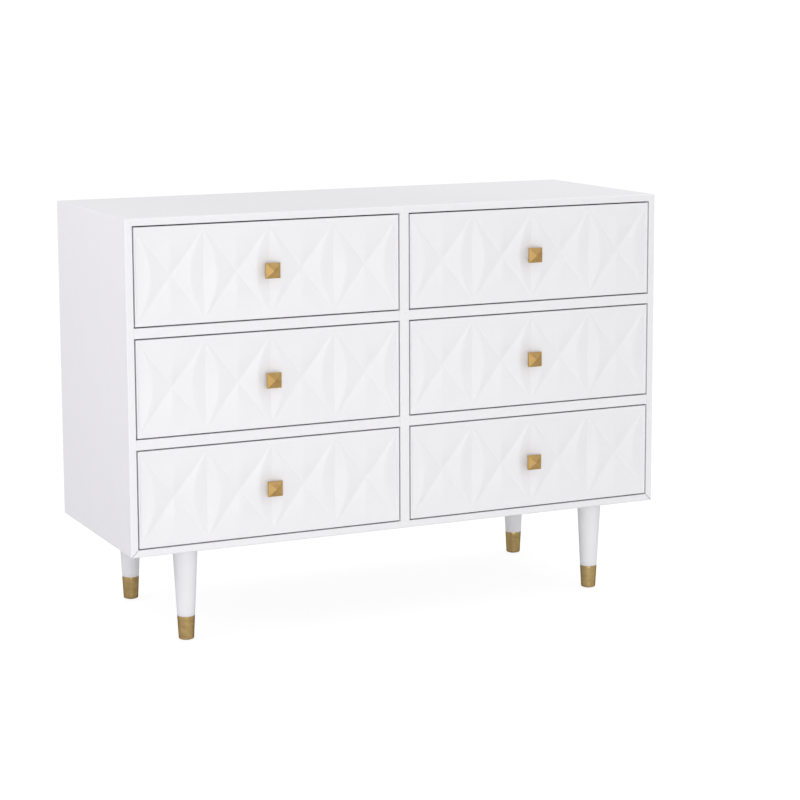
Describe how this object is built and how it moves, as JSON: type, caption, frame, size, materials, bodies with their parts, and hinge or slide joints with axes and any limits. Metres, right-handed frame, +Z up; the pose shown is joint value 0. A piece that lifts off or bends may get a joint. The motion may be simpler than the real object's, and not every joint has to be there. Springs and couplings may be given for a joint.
{
  "type": "dresser with drawers",
  "caption": "Wide low dresser with inset carved drawer fronts, square metal knobs and tapered legs with metal foot caps.",
  "frame": {"origin": "on the floor, under the centre of the bounding box, which reaches from the knob tips to the back of the case", "axes": "+X to the viewer's right along the front, -Y out of the front, +Z up"},
  "size_m": [1.219, 0.481, 0.881],
  "materials": {
    "white_lacquer": "satin white lacquer over smooth board",
    "white_backing": "thin fibreboard, matt white face",
    "drawer_wood": "clear-sealed pale hardwood",
    "plywood": "clear-sealed birch plywood",
    "beech": "waxed beech",
    "brass": "brushed aged brass",
    "zinc_steel": "zinc-plated steel",
    "nylon": "natural off-white nylon"
  },
  "bodies": {
    "case": {"back_panel": "white_backing", "back_panel_screws": "zinc_steel", "bottom_panel": "white_lacquer", "centre_partition": "white_lacquer", "drawer_runners": "beech", "ferrule_front_left": "brass", "ferrule_front_right": "brass", "ferrule_rear_left": "brass", "ferrule_rear_right": "brass", "floor_glides": "nylon", "left_side_panel": "white_lacquer", "leg_front_left": "white_lacquer", "leg_front_right": "white_lacquer", "leg_hanger_bolts": "zinc_steel", "leg_rear_left": "white_lacquer", "leg_rear_right": "white_lacquer", "leg_tee_nuts": "zinc_steel", "rail_lower_left": "white_lacquer", "rail_lower_right": "white_lacquer", "rail_upper_left": "white_lacquer", "rail_upper_right": "white_lacquer", "right_side_panel": "white_lacquer", "runner_screws": "zinc_steel", "top_panel": "white_lacquer"},
    "drawer_bottom_left": {"bottom_left_drawer_back": "drawer_wood", "bottom_left_drawer_bottom": "plywood", "bottom_left_drawer_front": "white_lacquer", "bottom_left_drawer_knob": "brass", "bottom_left_drawer_side_left": "drawer_wood", "bottom_left_drawer_side_right": "drawer_wood"},
    "drawer_bottom_right": {"bottom_right_drawer_back": "drawer_wood", "bottom_right_drawer_bottom": "plywood", "bottom_right_drawer_front": "white_lacquer", "bottom_right_drawer_knob": "brass", "bottom_right_drawer_side_left": "drawer_wood", "bottom_right_drawer_side_right": "drawer_wood"},
    "drawer_middle_left": {"middle_left_drawer_back": "drawer_wood", "middle_left_drawer_bottom": "plywood", "middle_left_drawer_front": "white_lacquer", "middle_left_drawer_knob": "brass", "middle_left_drawer_side_left": "drawer_wood", "middle_left_drawer_side_right": "drawer_wood"},
    "drawer_middle_right": {"middle_right_drawer_back": "drawer_wood", "middle_right_drawer_bottom": "plywood", "middle_right_drawer_front": "white_lacquer", "middle_right_drawer_knob": "brass", "middle_right_drawer_side_left": "drawer_wood", "middle_right_drawer_side_right": "drawer_wood"},
    "drawer_top_left": {"top_left_drawer_back": "drawer_wood", "top_left_drawer_bottom": "plywood", "top_left_drawer_front": "white_lacquer", "top_left_drawer_knob": "brass", "top_left_drawer_side_left": "drawer_wood", "top_left_drawer_side_right": "drawer_wood"},
    "drawer_top_right": {"top_right_drawer_back": "drawer_wood", "top_right_drawer_bottom": "plywood", "top_right_drawer_front": "white_lacquer", "top_right_drawer_knob": "brass", "top_right_drawer_side_left": "drawer_wood", "top_right_drawer_side_right": "drawer_wood"}
  },
  "joints": [
    {"name": "slide_bottom_left", "type": "slide", "parent": "case", "child": "drawer_bottom_left", "axis": [0, -1, 0], "range_m": [0, 0.3]},
    {"name": "slide_bottom_right", "type": "slide", "parent": "case", "child": "drawer_bottom_right", "axis": [0, -1, 0], "range_m": [0, 0.3]},
    {"name": "slide_middle_left", "type": "slide", "parent": "case", "child": "drawer_middle_left", "axis": [0, -1, 0], "range_m": [0, 0.3]},
    {"name": "slide_middle_right", "type": "slide", "parent": "case", "child": "drawer_middle_right", "axis": [0, -1, 0], "range_m": [0, 0.3]},
    {"name": "slide_top_left", "type": "slide", "parent": "case", "child": "drawer_top_left", "axis": [0, -1, 0], "range_m": [0, 0.3]},
    {"name": "slide_top_right", "type": "slide", "parent": "case", "child": "drawer_top_right", "axis": [0, -1, 0], "range_m": [0, 0.3]}
  ]
}
